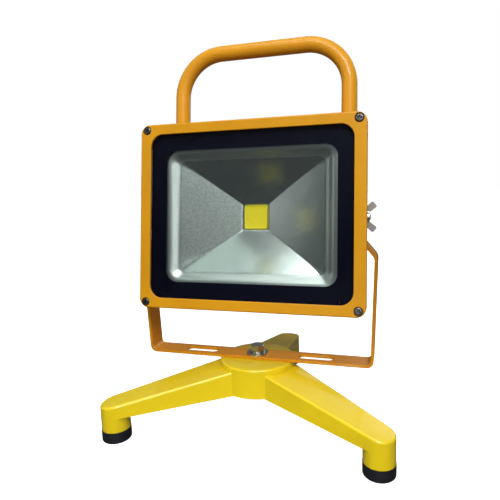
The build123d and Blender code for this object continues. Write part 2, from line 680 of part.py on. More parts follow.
def build_housing():
    """The cast body: a shallow box with fins, lugs, handle blocks and a driver box on its back."""
    cavity = (
        HOUSING_WIDTH - 2 * HOUSING_WALL, HOUSING_HEIGHT - 2 * HOUSING_WALL, HOUSING_CORNER - HOUSING_WALL
    )
    fins = build_fins()
    lugs = build_lugs()
    blocks = build_handle_blocks()
    bosses = build_inner_bosses()
    with BuildPart() as housing:
        with BuildSketch(depth_plane(BACK_DEPTH)):
            RectangleRounded(HOUSING_WIDTH, HOUSING_HEIGHT, HOUSING_CORNER)
        extrude(amount=BACK_DEPTH - BEZEL_DEPTH)
        fillet(housing.faces().sort_by(Axis.Y)[-1].edges(), radius=BACK_EDGE)
        add(fins)
        add(lugs)
        add(blocks)
        with BuildSketch(depth_plane(BOX_DEPTH)):
            RectangleRounded(BOX_WIDTH, BOX_HEIGHT, BOX_CORNER)
        extrude(amount=BOX_DEPTH - BACK_DEPTH + ROOT_OVERLAP)
        with BuildSketch(depth_plane(FLOOR_DEPTH)):
            RectangleRounded(*cavity)
        extrude(amount=FLOOR_DEPTH - BEZEL_DEPTH, mode=Mode.SUBTRACT)
        with BuildSketch(depth_plane(BOX_DEPTH)):
            RectangleRounded(BOX_WIDTH - 2 * BOX_WALL, BOX_HEIGHT - 2 * BOX_WALL, BOX_CORNER - BOX_WALL)
        extrude(amount=BOX_DEPTH - BACK_DEPTH, mode=Mode.SUBTRACT)
        add(bosses)
        add(build_screw_holes(), mode=Mode.SUBTRACT)
        with BuildSketch(lamp_level(SOCKET_FLOOR, HANDLE_DEPTH)):
            with Locations((HANDLE_X, 0), (-HANDLE_X, 0)):
                Circle(HANDLE_RADIUS + 0.1)
        extrude(amount=SOCKET_TOP, mode=Mode.SUBTRACT)
        with BuildSketch(lamp_level(BOX_BOTTOM, GLAND_DEPTH)):
            Circle(GLAND_THREAD + 0.1)
        extrude(amount=BOX_WALL, mode=Mode.SUBTRACT)
    write_lamp(housing, "housing")


def build_screw_holes():
    """Everything drilled in the housing, as one cutter."""
    with BuildPart() as holes:
        with BuildSketch(depth_plane(LUG_SCREW_DEPTH)):
            with at_corners(SCREW_X, SCREW_Z):
                Circle(M4[0] + TAPPED_HOLE)
        extrude(amount=LUG_SCREW_DEPTH - BEZEL_DEPTH)
        with BuildSketch(depth_plane(RIM_DEPTH + SHEET + POST_HOLE)):
            with at_corners(POST_X, POST_Z):
                Circle(M3[0] + TAPPED_HOLE)
        extrude(amount=POST_HOLE)
        with BuildSketch(depth_plane(BACK_DEPTH)):
            with at_corners(BOARD_SCREW, BOARD_SCREW):
                Circle(M3[0] + TAPPED_HOLE)
            with Locations((LEAD_X, 0)):
                Circle(LEAD_HOLE)
        extrude(amount=BACK_DEPTH - FLOOR_DEPTH)
        with BuildSketch(depth_plane(BOX_DEPTH)):
            with at_corners(COVER_SCREW_X, COVER_SCREW_Z):
                Circle(M3[0] + TAPPED_HOLE)
        extrude(amount=COVER_HOLE)
        with BuildSketch(depth_plane(DRIVER_DEPTH)):
            with Locations((DRIVER_SCREW_X, DRIVER_Z), (-DRIVER_SCREW_X, DRIVER_Z)):
                Circle(M3[0] + TAPPED_HOLE)
        extrude(amount=DRIVER_HOLE)
        for side in (-1, 1):
            with BuildSketch(side_plane(side * HOUSING_WIDTH / 2)):
                Circle(M6_RADIUS + TAPPED_HOLE)
            extrude(amount=-side * STUD_GRIP)
        for height in HANDLE_SCREW_Z:
            with BuildSketch(rear_plane(SOCKET_BACK)):
                with Locations((HANDLE_X, height - LAMP_CENTRE_Z), (-HANDLE_X, height - LAMP_CENTRE_Z)):
                    Circle(M4[0] + TAPPED_HOLE)
            extrude(amount=-SOCKET_SCREW_HOLE)
    return holes.part


# ---- lamp: light engine and driver --------------------------------------------------------------


def build_light_engine():
    """The LED emitter on its board, the thermal pad behind and the board's four screws."""
    emitter_back = EMITTER_DEPTH + EMITTER_THICKNESS
    board_back = emitter_back + BOARD_THICKNESS
    with BuildPart() as emitter:
        with BuildSketch(depth_plane(emitter_back)):
            RectangleRounded(EMITTER_SIDE, EMITTER_SIDE, BOARD_CORNER)
        extrude(amount=EMITTER_THICKNESS)
    write_lamp(emitter, "led_emitter")
    with BuildPart() as board:
        with BuildSketch(depth_plane(board_back)):
            RectangleRounded(BOARD_SIDE, BOARD_SIDE, BOARD_CORNER)
            with at_corners(BOARD_SCREW, BOARD_SCREW):
                Circle(M3[0] + LOOSE_HOLE, mode=Mode.SUBTRACT)
        extrude(amount=BOARD_THICKNESS)
    write_lamp(board, "led_board")
    with BuildPart() as pad:
        with BuildSketch(depth_plane(FLOOR_DEPTH)):
            RectangleRounded(BOARD_SIDE, BOARD_SIDE, BOARD_CORNER)
            with at_corners(BOARD_SCREW, BOARD_SCREW):
                Circle(M3[0] + 3 * LOOSE_HOLE, mode=Mode.SUBTRACT)
        extrude(amount=FLOOR_DEPTH - board_back)
    write_lamp(pad, "thermal_pad")
    corners = [(x, z) for x in (-BOARD_SCREW, BOARD_SCREW) for z in (-BOARD_SCREW, BOARD_SCREW)]
    low_head = (M3[0], 2.2, 0.9)
    write_lamp(pan_screw(corners, depth_plane(emitter_back), low_head, 6.0), "led_screws")


def build_leads():
    """Two insulated leads from the board's pads, through the back wall, to the driver."""
    start_x = BOARD_SIDE / 2 - BOARD_CORNER
    lying = EMITTER_DEPTH + EMITTER_THICKNESS - LEAD_RADIUS
    for name, height in (("lead_red", LEAD_Z), ("lead_black", -LEAD_Z)):
        level = lamp_level(height + LAMP_CENTRE_Z)
        with BuildPart() as lead:
            with BuildLine(level) as route:
                FilletPolyline((start_x, lying - PIVOT_DEPTH), (LEAD_X, lying - PIVOT_DEPTH),
                               (LEAD_X, DRIVER_DEPTH - PIVOT_DEPTH), radius=LEAD_BEND)
            with BuildSketch(Plane(origin=route.line @ 0, z_dir=route.line % 0)):
                Circle(LEAD_RADIUS)
            sweep()
        write_lamp(lead, name)


def build_driver():
    """The potted LED driver on its flange, two screws, and the terminal block under it."""
    places = [(DRIVER_SCREW_X, DRIVER_Z), (-DRIVER_SCREW_X, DRIVER_Z)]
    flange_back = DRIVER_DEPTH + DRIVER_FLANGE_THICKNESS
    with BuildPart() as driver:
        with BuildSketch(depth_plane(flange_back)):
            with Locations((0, DRIVER_Z)):
                RectangleRounded(*DRIVER_FLANGE)
            with Locations(*places):
                Circle(M3[0] + LOOSE_HOLE, mode=Mode.SUBTRACT)
        extrude(amount=DRIVER_FLANGE_THICKNESS)
        with BuildSketch(depth_plane(DRIVER_DEPTH + DRIVER_BODY_THICKNESS)):
            with Locations((0, DRIVER_Z)):
                RectangleRounded(*DRIVER_BODY)
        extrude(amount=DRIVER_BODY_THICKNESS)
    write_lamp(driver, "driver")
    write_lamp(pan_screw(places, rear_plane(flange_back), (M3[0], 2.6, 1.8), 5.5), "driver_screws")
    well_radius, well_depth = TERMINAL_WELL
    terminal_back = BACK_DEPTH + TERMINAL_HEIGHT
    with BuildPart() as terminals:
        with BuildSketch(depth_plane(terminal_back)):
            with Locations((0, TERMINAL_Z)):
                Rectangle(*TERMINAL_SIZE)
        extrude(amount=TERMINAL_HEIGHT)
        with BuildSketch(rear_plane(terminal_back)):
            with Locations((0, TERMINAL_Z)):
                with GridLocations(TERMINAL_PITCH, 0, 3, 1):
                    Circle(well_radius)
        extrude(amount=-well_depth, mode=Mode.SUBTRACT)
    write_lamp(terminals, "terminal_block")


def build_rear_cover():
    """The driver box's flat cover, its gasket and its four screws."""
    gasket_back = BOX_DEPTH + COVER_GASKET
    cover_back = gasket_back + COVER_THICKNESS
    with BuildPart() as gasket:
        with BuildSketch(depth_plane(gasket_back)):
            RectangleRounded(BOX_WIDTH, BOX_HEIGHT, BOX_CORNER)
            RectangleRounded(BOX_WIDTH - 2 * BOX_WALL, BOX_HEIGHT - 2 * BOX_WALL, BOX_CORNER - BOX_WALL,
                             mode=Mode.SUBTRACT)
        extrude(amount=COVER_GASKET)
    write_lamp(gasket, "rear_cover_gasket")
    with BuildPart() as cover:
        with BuildSketch(depth_plane(cover_back)):
            RectangleRounded(BOX_WIDTH, BOX_HEIGHT, BOX_CORNER)
            with at_corners(COVER_SCREW_X, COVER_SCREW_Z):
                Circle(M3[0] + LOOSE_HOLE, mode=Mode.SUBTRACT)
        extrude(amount=COVER_THICKNESS)
        outer_rim = cover.faces().sort_by(Axis.Y)[-1].outer_wire().edges()
        fillet(outer_rim, radius=COVER_EDGE)
    write_lamp(cover, "rear_cover")
    corners = [(x, z) for x in (-COVER_SCREW_X, COVER_SCREW_X) for z in (-COVER_SCREW_Z, COVER_SCREW_Z)]
    write_lamp(pan_screw(corners, rear_plane(cover_back), M3, 12.0), "rear_cover_screws")


def build_gland():
    """Cable gland under the driver box: body, lock nut inside, rubber seal and domed cap nut."""
    flange_bottom = BOX_BOTTOM - GLAND_FLANGE
    neck_end = flange_bottom - GLAND_NECK
    seal_end = neck_end - SEAL_OUT
    cap_end = neck_end - GLAND_CAP_NOSE
    cap_height = flange_bottom - 5 * LOOSE_HOLE - cap_end
    with BuildPart() as body:
        with BuildSketch(lamp_level(flange_bottom, GLAND_DEPTH)):
            RegularPolygon(radius=GLAND_APOTHEM, side_count=6, major_radius=False)
        extrude(amount=GLAND_FLANGE)
        with BuildSketch(lamp_level(BOX_BOTTOM, GLAND_DEPTH)):
            Circle(GLAND_THREAD)
        extrude(amount=GLAND_INSIDE)
        with BuildSketch(lamp_level(neck_end, GLAND_DEPTH)):
            Circle(GLAND_NECK_RADIUS)
        extrude(amount=GLAND_NECK)
        with BuildSketch(lamp_level(neck_end, GLAND_DEPTH)):
            Circle(SEAL_RADIUS + LOOSE_HOLE)
        extrude(amount=GLAND_NECK + GLAND_FLANGE + GLAND_INSIDE, mode=Mode.SUBTRACT)
    write_lamp(body, "gland_body")
    nut_height, nut_flats = GLAND_NUT
    nut_plane = lamp_level(BOX_BOTTOM + BOX_WALL, GLAND_DEPTH)
    write_lamp(hexagon(nut_plane, nut_height, nut_flats, GLAND_THREAD, 0.6), "gland_lock_nut")
    seal = flat_ring(lamp_level(seal_end, GLAND_DEPTH), SEAL_RADIUS, CABLE_RADIUS, SEAL_LENGTH)
    write_lamp(seal, "gland_seal")
    with BuildPart() as cap:
        with BuildSketch(lamp_level(cap_end, GLAND_DEPTH)):
            RegularPolygon(radius=GLAND_APOTHEM, side_count=6, major_radius=False)
        extrude(amount=cap_height)
        with BuildSketch(lamp_level(cap_end, GLAND_DEPTH)):
            Circle(GLAND_CAP_MOUTH)
        extrude(amount=cap_height, taper=GLAND_CAP_CONE, mode=Mode.INTERSECT)
        with BuildSketch(lamp_level(seal_end, GLAND_DEPTH)):
            Circle(GLAND_CAP_BORE)
        extrude(amount=cap_height, mode=Mode.SUBTRACT)
        with BuildSketch(lamp_level(cap_end, GLAND_DEPTH)):
            Circle(CABLE_RADIUS + 1.2)
        extrude(amount=cap_height, mode=Mode.SUBTRACT)
    write_lamp(cap, "gland_cap_nut")


# ---- lamp: pivots and handle --------------------------------------------------------------------


def build_pivots():
    """On each side: a stud in the housing, a toothed washer, a plain washer and a wing nut."""
    ear_inner = EAR_X - STRIP / 2
    ear_outer = EAR_X + STRIP / 2
    washer_seat = ear_outer + PIVOT_GAP
    nut_seat = washer_seat + PIVOT_WASHER
    for name, side in (("right", 1), ("left", -1)):
        with BuildPart() as stud:
            with BuildSketch(side_plane(side * (HOUSING_WIDTH / 2 - STUD_GRIP))):
                Circle(M6_RADIUS)
            extrude(amount=side * (STUD_TIP - HOUSING_WIDTH / 2 + STUD_GRIP))
            rims = stud.edges().filter_by(GeomType.CIRCLE).sort_by(Axis.X)
            chamfer(rims[-1] if side > 0 else rims[0], length=0.6)
        write_lamp(stud, f"pivot_stud_{name}")
        with BuildPart() as tooth_washer:
            with BuildSketch(side_plane(side * HOUSING_WIDTH / 2)):
                Circle(TOOTH_RADIUS)
                Circle(M6_RADIUS + 2 * LOOSE_HOLE, mode=Mode.SUBTRACT)
                with PolarLocations(TOOTH_RADIUS, TOOTH_COUNT):
                    Rectangle(*TOOTH_NOTCH, mode=Mode.SUBTRACT)
            extrude(amount=side * (ear_inner - HOUSING_WIDTH / 2 - PIVOT_GAP))
        write_lamp(tooth_washer, f"tooth_washer_{name}")
        with BuildPart() as washer:
            with BuildSketch(side_plane(side * washer_seat)):
                Circle(PIVOT_WASHER_RADIUS)
                Circle(M6_RADIUS + 3 * LOOSE_HOLE, mode=Mode.SUBTRACT)
            extrude(amount=side * PIVOT_WASHER)
        write_lamp(washer, f"pivot_washer_{name}")
        write_lamp(build_wing_nut(side, nut_seat), f"wing_nut_{name}")


def build_wing_nut(side, seat):
    """Pressed wing nut: a tapering hub with two blades that flare outward from it."""
    with BuildPart() as nut:
        with BuildSketch(side_plane(side * seat)):
            Circle(WING_HUB_RADIUS)
        extrude(amount=side * WING_HUB, taper=WING_HUB_TAPER)
        for turn in (-1, 1):
            outline = [(side * (seat + along), turn * out) for along, out in WING_BLADE]
            with BuildSketch(Plane.XZ) as blade:
                with BuildLine():
                    Polyline(*outline, close=True)
                make_face()
                corners = blade.vertices().sort_by(Axis.X)
                fillet(corners[-2:] if side > 0 else corners[:2], radius=WING_TIP)
            extrude(amount=WING_THICKNESS / 2, both=True)
        with BuildSketch(side_plane(side * seat)):
            Circle(M6_RADIUS + 0.08)
        extrude(amount=side * 2 * WING_HUB, mode=Mode.SUBTRACT)
    return nut


def build_handle():
    """The bent tube and the four screws that hold its ends in the housing's blocks."""
    path_plane = Plane(origin=(0, HANDLE_DEPTH - PIVOT_DEPTH, 0), x_dir=(1, 0, 0), z_dir=(0, -1, 0))
    top = HANDLE_TOP + LAMP_CENTRE_Z
    with BuildPart() as handle:
        with BuildLine(path_plane) as route:
            FilletPolyline((-HANDLE_X, SOCKET_FLOOR), (-HANDLE_X, top), (HANDLE_X, top),
                           (HANDLE_X, SOCKET_FLOOR), radius=HANDLE_BEND)
        with BuildSketch(lamp_level(SOCKET_FLOOR, HANDLE_DEPTH)):
            with Locations((-HANDLE_X, 0)):
                Circle(HANDLE_RADIUS)
                Circle(HANDLE_RADIUS - HANDLE_WALL, mode=Mode.SUBTRACT)
        sweep()
        for height in HANDLE_SCREW_Z:
            with BuildSketch(rear_plane(SOCKET_BACK)):
                with Locations((HANDLE_X, height - LAMP_CENTRE_Z), (-HANDLE_X, height - LAMP_CENTRE_Z)):
                    Circle(M4[0] + LOOSE_HOLE)
            extrude(amount=HANDLE_DEPTH - SOCKET_BACK, mode=Mode.SUBTRACT)
    write_lamp(handle, "handle")
    places = [(x, z - LAMP_CENTRE_Z) for x in (-HANDLE_X, HANDLE_X) for z in HANDLE_SCREW_Z]
    write_lamp(pan_screw(places, rear_plane(SOCKET_BACK), M4, 10.0), "handle_screws")


def main():
    os.makedirs("parts", exist_ok=True)
    build_base()
    build_foot_caps()
    build_base_fasteners()
    build_yoke()
    build_bezel()
    build_glass()
    build_reflector()
    build_housing()
    build_light_engine()
    build_leads()
    build_driver()
    build_rear_cover()
    build_gland()
    build_pivots()
    build_handle()


main()
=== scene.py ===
import json
import math

import bpy
import numpy as np
from mathutils import Matrix, Vector


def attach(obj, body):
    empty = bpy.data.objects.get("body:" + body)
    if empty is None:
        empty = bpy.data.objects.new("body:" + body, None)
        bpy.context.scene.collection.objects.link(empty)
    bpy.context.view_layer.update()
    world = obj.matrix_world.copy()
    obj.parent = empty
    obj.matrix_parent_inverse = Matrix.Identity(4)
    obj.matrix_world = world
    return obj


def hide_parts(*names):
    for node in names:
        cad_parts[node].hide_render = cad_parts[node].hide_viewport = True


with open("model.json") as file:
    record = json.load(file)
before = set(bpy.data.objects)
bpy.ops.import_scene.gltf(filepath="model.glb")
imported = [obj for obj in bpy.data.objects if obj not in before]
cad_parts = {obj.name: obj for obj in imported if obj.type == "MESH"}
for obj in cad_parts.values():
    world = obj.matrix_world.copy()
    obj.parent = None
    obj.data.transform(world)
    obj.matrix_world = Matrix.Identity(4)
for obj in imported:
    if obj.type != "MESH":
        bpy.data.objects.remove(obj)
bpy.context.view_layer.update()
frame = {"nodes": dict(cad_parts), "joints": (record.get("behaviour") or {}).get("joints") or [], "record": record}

NODES = frame["nodes"]
MM = 0.001

# ---- the lamp's own frame: origin on the pivot, x right, y back from the bezel, z up its face -------

TILT = next(joint for joint in frame["joints"] if joint["name"] == "tilt")
PIVOT = np.array(TILT["pos_m"])
FACE_UP = math.radians(8.33)
LAMP_AXES = np.array([
    [1, 0, 0],
    [0, math.cos(FACE_UP), -math.sin(FACE_UP)],
    [0, math.sin(FACE_UP), math.cos(FACE_UP)],
])
BEZEL_FRONT = -24.0  # millimetres before the pivot
LAMP_CENTRE = 1.0  # millimetres above the pivot


def lamp_to_row(points):
    """Points in the lamp's frame, (x, depth behind the bezel's front, height above its centre) in mm."""
    shifted = np.asarray(points, float) + np.array([0, BEZEL_FRONT, LAMP_CENTRE])
    return shifted * MM @ LAMP_AXES + PIVOT


def grid_object(name, points, body, finish, closed_along=False):
    """A piece from a grid of points, rows by columns, each row a closed outline in row-frame metres.

    Neighbouring rows are joined by quads. closed_along also joins the last row back to the first;
    otherwise the first and last rows are capped with one face each.
    """
    rows, columns = points.shape[:2]
    index = np.arange(rows * columns).reshape(rows, columns)
    beside = np.roll(index, -1, axis=1)
    last = rows if closed_along else rows - 1
    above = np.roll(index, -1, axis=0)
    above_beside = np.roll(above, -1, axis=1)
    quads = np.stack([index, beside, above_beside, above], axis=-1)[:last].reshape(-1, 4)
    faces = quads.tolist()
    if not closed_along:
        faces += [index[0, ::-1].tolist(), index[-1].tolist()]
    mesh = bpy.data.meshes.new(name)
    mesh.from_pydata(points.reshape(-1, 3).tolist(), [], faces)
    mesh.polygons.foreach_set("use_smooth", np.ones(len(faces), bool))
    mesh.materials.append(finish)
    mesh.update()
    piece = bpy.data.objects.new(name, mesh)
    bpy.context.scene.collection.objects.link(piece)
    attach(piece, body)
    return piece


# ---- camera -----------------------------------------------------------------------------------------


LENS, SENSOR = 33.2, 36.0  # millimetres
LENS_SHIFT = (-0.0267, -0.0240)  # fractions of the sensor's width
CAMERA_PLACE = (0.1355, -0.4750, 0.2479)
CAMERA_TURN = (15.955, 7.445, 1.803)  # degrees of azimuth, drop below level, and roll


def add_camera():
    """A slightly wide lens, low and to the right of the lamp, looking a little down."""
    data = bpy.data.cameras.new("studio_camera")
    data.lens = LENS
    data.sensor_width = SENSOR
    data.shift_x, data.shift_y = LENS_SHIFT
    data.clip_start = 0.01
    camera = bpy.data.objects.new("studio_camera", data)
    bpy.context.scene.collection.objects.link(camera)
    azimuth, drop, roll = map(math.radians, CAMERA_TURN)
    aim = Matrix.Rotation(azimuth, 4, "Z") @ Matrix.Rotation(math.pi / 2 - drop, 4, "X")
    aim = aim @ Matrix.Rotation(-roll, 4, "Z")
    camera.matrix_world = Matrix.Translation(CAMERA_PLACE) @ aim
    bpy.context.scene.camera = camera


# ---- node graphs as arithmetic ----------------------------------------------------------------------


class Wire:
    """A shader output that + - and * work on: each adds a Math node to the material."""

    def __init__(self, paint, socket):
        self.paint = paint
        self.socket = socket

    def maths(self, operation, *others):
        return self.paint.node("ShaderNodeMath", {"operation": operation}, dict(enumerate((self, *others))))

    def __add__(self, other):
        return self.maths("ADD", other)

    __radd__ = __add__

    def __sub__(self, other):
        return self.maths("SUBTRACT", other)

    def __rsub__(self, other):
        return self.paint.node("ShaderNodeMath", {"operation": "SUBTRACT"}, {0: other, 1: self})

    def __mul__(self, other):
        return self.maths("MULTIPLY", other)

    __rmul__ = __mul__

    def step(self, low, high):
        """0 below low, 1 above high, smooth between."""
        return self.paint.node("ShaderNodeMapRange", {"interpolation_type": "SMOOTHSTEP"},
                               {"Value": self, "From Min": low, "From Max": high})


class Paint:
    """One material: a Principled surface, and short calls for what feeds it."""

    def __init__(self, name):
        self.material = bpy.data.materials.new(name)
        self.material.use_nodes = True
        self.tree = self.material.node_tree
        self.tree.nodes.clear()
        self.output = self.tree.nodes.new("ShaderNodeOutputMaterial")
        self.surface = self.tree.nodes.new("ShaderNodeBsdfPrincipled")
        self.tree.links.new(self.surface.outputs[0], self.output.inputs["Surface"])

    def feed(self, node, name, value):
        socket = node.inputs[name]
        if isinstance(value, Wire):
            self.tree.links.new(value.socket, socket)
        else:
            socket.default_value = value

    def node(self, kind, settings=None, inputs=None, output=0):
        """Any node: its settings, then its inputs as numbers or wires. Gives one of its outputs."""
        made = self.tree.nodes.new(kind)
        for name, value in (settings or {}).items():
            if name == "stops":
                self.set_stops(made.color_ramp, value)
            else:
                setattr(made, name, value)
        for name, value in (inputs or {}).items():
            self.feed(made, name, value)
        return Wire(self, made.outputs[output])

    def set_stops(self, ramp, stops):
        while len(ramp.elements) < len(stops):
            ramp.elements.new(0.5)
        for element, (position, colour) in zip(ramp.elements, stops):
            element.position = position
            element.color = (*colour, 1)

    def place(self, size=(1, 1, 1)):
        """Object coordinates divided by a pattern's size in metres along each axis."""
        coordinates = self.node("ShaderNodeTexCoord", output="Object")
        scale = tuple(1 / s for s in size)
        return self.node("ShaderNodeMapping", None, {"Vector": coordinates, "Scale": scale})

    def noise(self, size, detail=3.0, roughness=0.5, where=None):
        """Fractal noise whose largest lumps are about size metres across, from 0 to 1."""
        vector = where or self.place()
        return self.node("ShaderNodeTexNoise", None, {"Vector": vector, "Scale": 1 / size, "Detail": detail,
                                                      "Roughness": roughness})

    def cells(self, size):
        """Distance to the nearest of scattered points about size metres apart."""
        return self.node("ShaderNodeTexVoronoi", None, {"Vector": self.place(), "Scale": 1 / size})

    def crevice(self, reach):
        """Ambient occlusion, used for painted shade: 1 in the open, falling to 0 in corners and gaps narrower than
        reach metres.
        """
        return self.node("ShaderNodeAmbientOcclusion", {"samples": 8}, {"Distance": reach}, output=1)

    def blend(self, factor, first, second):
        """A colour between two colours."""
        inputs = {0: factor, 6: first if isinstance(first, Wire) else (*first, 1),
                  7: second if isinstance(second, Wire) else (*second, 1)}
        return self.node("ShaderNodeMix", {"data_type": "RGBA"}, inputs, output=2)

    def bump(self, height, depth, under=None):
        """A normal from a height of 0 to 1 that stands for depth metres."""
        inputs = {"Height": height, "Distance": depth, "Strength": 1.0}
        if under:
            inputs["Normal"] = under
        return self.node("ShaderNodeBump", None, inputs)

    def finish(self, **values):
        """Sets the Principled surface's sockets; underscores stand for spaces."""
        for name, value in values.items():
            if isinstance(value, tuple) and len(value) == 3:
                value = (*value, 1)
            self.feed(self.surface, name.replace("_", " "), value)
        return self.material


# ---- finishes ---------------------------------------------------------------------------------------


def powder_coat(name, light, deep):
    """Satin powder coat: slight orange peel, faint mottling of the pigment, a few dull rubs, and painted shade
    darkening it in corners and gaps.
    """
    paint = Paint(name)
    cloud = paint.noise(0.045, 4, 0.55)
    peel = paint.noise(0.0014, 2, 0.4)
    rubs = paint.noise(0.012, 5, 0.65).step(0.58, 0.72)
    # painted shade: the darker colour laid into corners and gaps that ambient occlusion finds
    crevice_shade_colour = tuple(c * 0.4 for c in deep)
    coat = paint.blend(cloud.step(0.3, 0.7), light, deep)
    return paint.finish(
        # painted shade: ambient occlusion darkens the coat's colour in corners and gaps
        Base_Color=paint.blend(paint.crevice(0.004).step(0.2, 0.7), crevice_shade_colour, coat),
        Roughness=0.28 + peel * 0.06 + rubs * 0.08,
        Normal=paint.bump(peel, 0.00006),
        Specular_IOR_Level=0.25,
        Coat_Weight=0.12 - rubs * 0.08,
        Coat_Roughness=0.10,
    )


def cast_enamel(name, light, deep):
    """Thick enamel over a rough casting: broad lumps, fine sand grain, scattered specks, and painted shade
    darkening it in corners and gaps.
    """
    paint = Paint(name)
    cloud = paint.noise(0.05, 3, 0.5)
    lumps = paint.noise(0.009, 3, 0.5)
    grain = paint.noise(0.0012, 2, 0.5)
    specks = 1 - paint.cells(0.014).step(0.02, 0.06)
    normal = paint.bump(lumps, 0.0004)
    normal = paint.bump(grain, 0.00005, normal)
    # painted shade: the darker colour laid into corners and gaps that ambient occlusion finds
    crevice_shade_colour = tuple(c * 0.45 for c in deep)
    coat = paint.blend(cloud.step(0.25, 0.75), light, deep)
    return paint.finish(
        # painted shade: ambient occlusion darkens the enamel's colour in corners and gaps
        Base_Color=paint.blend(paint.crevice(0.006).step(0.25, 0.75), crevice_shade_colour, coat),
        Roughness=0.27 + grain * 0.07,
        Normal=paint.bump(specks, 0.0002, normal),
        Coat_Weight=0.45,
        Coat_Roughness=0.1,
    )


def moulded_rubber(name, colour):
    """Black rubber: matt, finely pitted, dusty in patches."""
    paint = Paint(name)
    pits = paint.noise(0.0007, 3, 0.6)
    dust = paint.noise(0.010, 5, 0.7).step(0.5, 0.8)
    grey = tuple(c + 0.006 for c in colour)
    return paint.finish(
        Base_Color=paint.blend(dust, colour, grey),
        Roughness=0.55 + dust * 0.2 + pits * 0.1,
        Normal=paint.bump(pits, 0.00008),
    )


def zinc_plate(name, bright, bloomed):
    """Plated steel: one metal tint with a faint bloom of a second and rolled streaks."""
    paint = Paint(name)
    bloom = paint.noise(0.006, 3, 0.6).step(0.35, 0.75)
    streak = paint.noise(1.0, 3, 0.6, paint.place((0.0006, 0.0006, 0.004)))
    return paint.finish(
        Base_Color=paint.blend(bloom, bright, bloomed),
        Metallic=1.0,
        Roughness=0.22 + streak * 0.12,
        Normal=paint.bump(streak, 0.00001),
    )


def peened_aluminium(name):
    """Pressed reflector sheet: satin aluminium, hammered where peened is 1 and duller where rolled is 1."""
    paint = Paint(name)
    peened = paint.node("ShaderNodeAttribute", {"attribute_name": "peened"}, output="Fac")
    rolled = paint.node("ShaderNodeAttribute", {"attribute_name": "rolled"}, output="Fac")
    dimples = paint.noise(0.0026, 2, 0.7) * peened
    pits = paint.noise(0.0019, 1, 0.5).step(0.38, 0.62) * peened
    sheen = paint.noise(0.02, 2, 0.5)
    cloud = paint.noise(0.03, 3, 0.5)
    return paint.finish(
        Base_Color=paint.blend(pits * 0.5, paint.blend(cloud, (0.62, 0.66, 0.64), (0.55, 0.59, 0.575)),
                               (0.36, 0.40, 0.39)),
        Metallic=1.0,
        Roughness=0.19 + sheen * 0.05 + peened * 0.07 + rolled * 0.12,
        Normal=paint.bump(dimples, 0.00006),
    )


def mill_aluminium(name):
    """Plain sheet or cast aluminium, lightly brushed."""
    paint = Paint(name)
    streak = paint.noise(1.0, 3, 0.6, paint.place((0.012, 0.0004, 0.0004)))
    return paint.finish(
        Base_Color=paint.blend(streak, (0.72, 0.73, 0.73), (0.62, 0.63, 0.63)),
        Metallic=1.0,
        Roughness=0.32 + streak * 0.12,
        Normal=paint.bump(streak, 0.00002),
    )


def phosphor_gel(name):
    """Yellow silicone over the LED chips: soft, slightly mottled, with a faint painted glow that lifts its
    brightness though the lamp is off.
    """
    paint = Paint(name)
    cloud = paint.noise(0.004, 3, 0.5)
    return paint.finish(
        Base_Color=paint.blend(cloud, (0.93, 0.76, 0.02), (0.86, 0.68, 0.018)),
        Roughness=0.42 + cloud * 0.1,
        Normal=paint.bump(paint.noise(0.0016, 2, 0.5), 0.00005),
        # painted glow: the unlit emitter gives off a little light so that it looks brighter
        Emission_Color=(0.80, 0.60, 0.02),
        Emission_Strength=0.14,
    )


def toughened_glass(name):
    """Clear flat glass: lets everything through but what its two faces mirror."""
    paint = Paint(name)
    clear = paint.node("ShaderNodeBsdfTransparent", None, {"Color": (0.94, 0.965, 0.955, 1)})
    smears = paint.noise(0.05, 4, 0.6)
    mirror = paint.node("ShaderNodeBsdfGlossy", None, {"Color": (1, 1, 1, 1), "Roughness": 0.02})
    share = paint.node("ShaderNodeFresnel", None, {"IOR": 1.45})
    amount = share * (0.45 + smears * 0.1)
    both = paint.node("ShaderNodeMixShader", None, {0: amount, 1: clear, 2: mirror})
    paint.tree.nodes.remove(paint.surface)
    paint.tree.links.new(both.socket, paint.output.inputs["Surface"])
    return paint.material


def screen_print(name):
    """Fired black border on the back of the glass: blue-black, smooth, a trace of pinholes."""
    paint = Paint(name)
    mottle = paint.noise(0.02, 4, 0.6)
    return paint.finish(
        Base_Color=paint.blend(mottle, (0.0018, 0.0024, 0.0110), (0.0028, 0.0034, 0.0135)),
        Specular_IOR_Level=0.08,
        Roughness=0.30 + mottle * 0.1,
        Normal=paint.bump(paint.noise(0.002, 2, 0.5), 0.00001),
    )


def moulded_plastic(name, colour, roughness=0.4):
    """Moulded plastic or resin: fine spark-eroded grain and slight colour drift."""
    paint = Paint(name)
    grain = paint.noise(0.0006, 2, 0.5)
    drift = paint.noise(0.02, 3, 0.5)
    paler = tuple(min(1.0, c * 1.25 + 0.01) for c in colour)
    return paint.finish(
        Base_Color=paint.blend(drift, colour, paler),
        Roughness=roughness + grain * 0.12,
        Normal=paint.bump(grain, 0.00004),
    )


